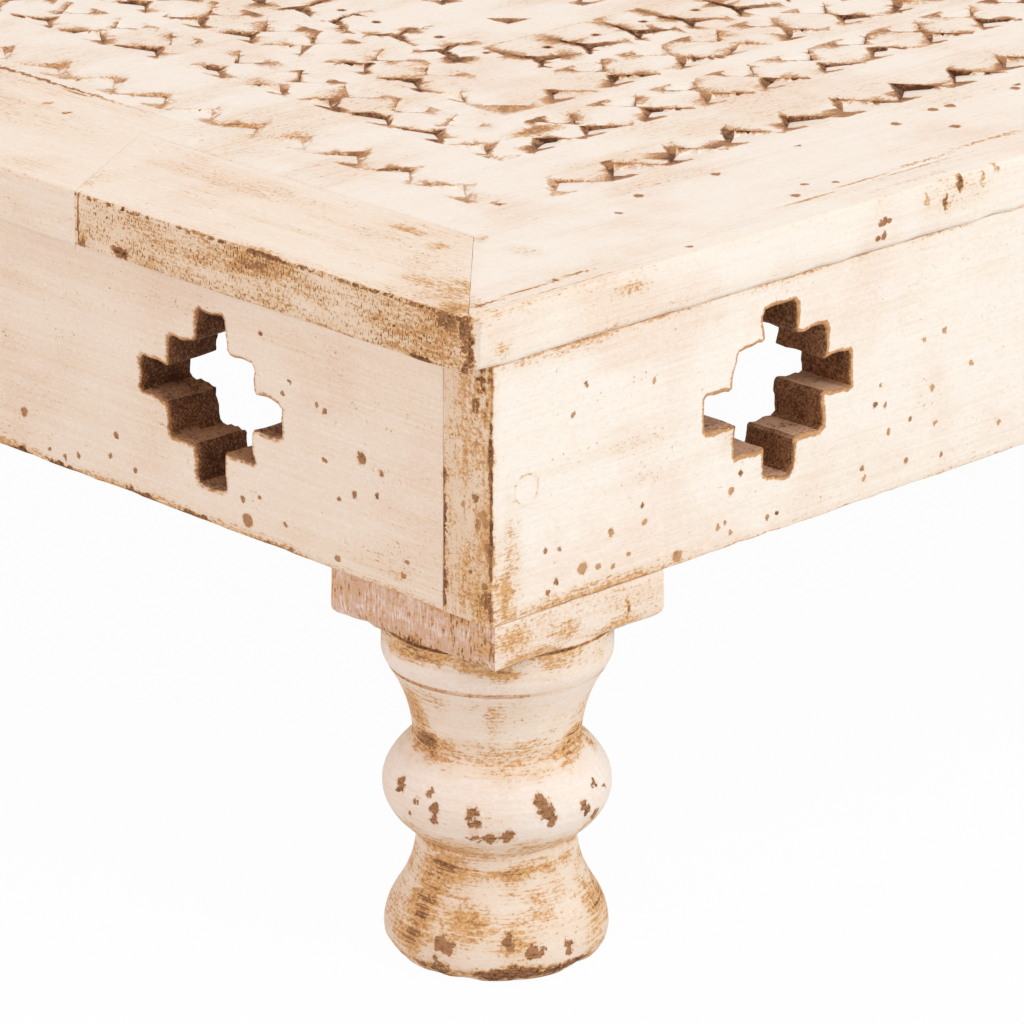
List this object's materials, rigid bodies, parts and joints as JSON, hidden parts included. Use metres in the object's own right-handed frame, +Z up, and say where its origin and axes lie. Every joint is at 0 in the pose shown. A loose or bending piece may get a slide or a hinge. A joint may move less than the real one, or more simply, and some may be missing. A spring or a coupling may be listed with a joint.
{
  "type": "bajot low table",
  "caption": "Square low table with a chip-carved, framed top, pierced aprons and turned legs, made to stand on the floor.",
  "frame": {"origin": "on the floor under the middle of the table", "axes": "+Z up, +Y to the back along the carved boards, +X to the right"},
  "size_m": [0.584, 0.602, 0.2018],
  "materials": {
    "painted_top": "worn chalk paint over carved brown hardwood",
    "painted_apron": "worn chalk paint over brown hardwood",
    "painted_leg": "worn chalk paint over turned brown hardwood",
    "painted_plug": "painted filler plug, flush",
    "bare_wood": "bare sawn hardwood",
    "steel": "plain steel wood screws"
  },
  "bodies": {
    "root": {"panel_board_left": "painted_top", "panel_board_middle": "painted_top", "panel_board_right": "painted_top", "frame_rail_left": "painted_top", "frame_rail_right": "painted_top", "frame_rail_back": "painted_top", "frame_rail_front_left": "painted_top", "frame_rail_front_right": "painted_top", "apron_front": "painted_apron", "apron_right": "painted_apron", "apron_back": "painted_apron", "apron_left": "painted_apron", "leg_front_left": "painted_leg", "leg_back_left": "painted_leg", "leg_front_right": "painted_leg", "leg_back_right": "painted_leg", "batten_front": "bare_wood", "batten_back": "bare_wood", "glue_block_front_1": "bare_wood", "glue_block_front_2": "bare_wood", "glue_block_right_1": "bare_wood", "glue_block_right_2": "bare_wood", "glue_block_back_1": "bare_wood", "glue_block_back_2": "bare_wood", "glue_block_left_1": "bare_wood", "glue_block_left_2": "bare_wood", "corner_screws": "steel", "screw_plugs": "painted_plug", "leg_screws": "steel", "batten_screws": "steel", "panel_dowels": "bare_wood", "frame_dowels": "bare_wood"}
  },
  "joints": []
}
